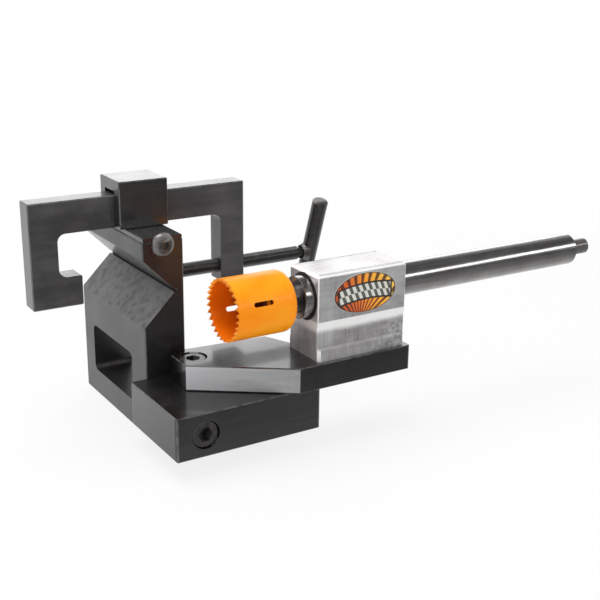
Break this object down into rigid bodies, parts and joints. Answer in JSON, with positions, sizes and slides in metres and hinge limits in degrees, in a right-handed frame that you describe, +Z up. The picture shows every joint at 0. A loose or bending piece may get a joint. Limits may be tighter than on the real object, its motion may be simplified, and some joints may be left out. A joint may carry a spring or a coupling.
{
  "type": "tube notcher",
  "caption": "Tube notcher with a vee block and sliding screw clamp for the tube, and a swing arm whose bearing block guides a shaft with a hole saw.",
  "frame": {"origin": "centre of the bottom face of the vee block's vice rail", "axes": "+X along the feed shaft from the saw towards the drill shank, +Y along the tube from the saw's side towards the clamp, +Z up"},
  "size_m": [0.4449, 0.2016, 0.1873],
  "materials": {
    "black_steel": "black-oxide steel, satin with a sheen",
    "screw_steel": "black-oxide steel, semi-gloss",
    "bright_steel": "ground steel",
    "raw_aluminium": "saw-cut and machined, fine scratches",
    "orange_enamel": "gloss enamel",
    "seal_rubber": "matt",
    "bronze": "sintered bronze"
  },
  "bodies": {
    "fixture": {"base_plate": "black_steel", "vee_block": "black_steel", "base_screw": "screw_steel", "locating_dowels": "bright_steel", "bridge_foot": "black_steel", "clamp_bridge": "black_steel", "bridge_screws": "screw_steel", "keeper_screw": "screw_steel", "pivot_bolt": "screw_steel"},
    "arm": {"swing_arm": "black_steel", "pivot_bush": "bronze", "bearing_block": "raw_aluminium", "block_screws": "screw_steel", "front_bearing_shell": "bright_steel", "rear_bearing_shell": "bright_steel", "front_seal": "seal_rubber", "rear_seal": "seal_rubber"},
    "needles": {"needle_cages": "bright_steel", "needle_rollers": "bright_steel"},
    "shaft": {"feed_shaft": "bright_steel", "saw_arbor": "screw_steel", "hole_saw": "orange_enamel"},
    "frame": {"clamp_frame": "black_steel"},
    "screw": {"clamp_screw": "screw_steel", "tee_bar": "screw_steel", "tee_weld": "screw_steel"}
  },
  "joints": [
    {"name": "arm_swing", "type": "hinge", "parent": "fixture", "child": "arm", "pos_m": [0.01112, -0.08253, 0.0572], "axis": [0, 0, 1], "range_deg": [-50, 10]},
    {"name": "shaft_spin", "type": "hinge", "parent": "arm", "child": "needles", "pos_m": [0.1, -0.11747, 0.11113], "axis": [1, 0, 0], "continuous": true},
    {"name": "shaft_feed", "type": "slide", "parent": "needles", "child": "shaft", "axis": [1, 0, 0], "range_m": [-0.068, 0]},
    {"name": "clamp_screw_turn", "type": "hinge", "parent": "fixture", "child": "screw", "pos_m": [0.1, -0.01287, 0.10963], "axis": [1, 0, 0], "range_deg": [-8330, 9120]},
    {"name": "clamp_slide", "type": "slide", "parent": "fixture", "child": "frame", "axis": [1, 0, 0], "range_m": [-0.046, 0.042]}
  ],
  "couplings": [
    {"joint": "clamp_slide", "follows": "clamp_screw_turn", "m_per_rad": -0.00028875}
  ]
}
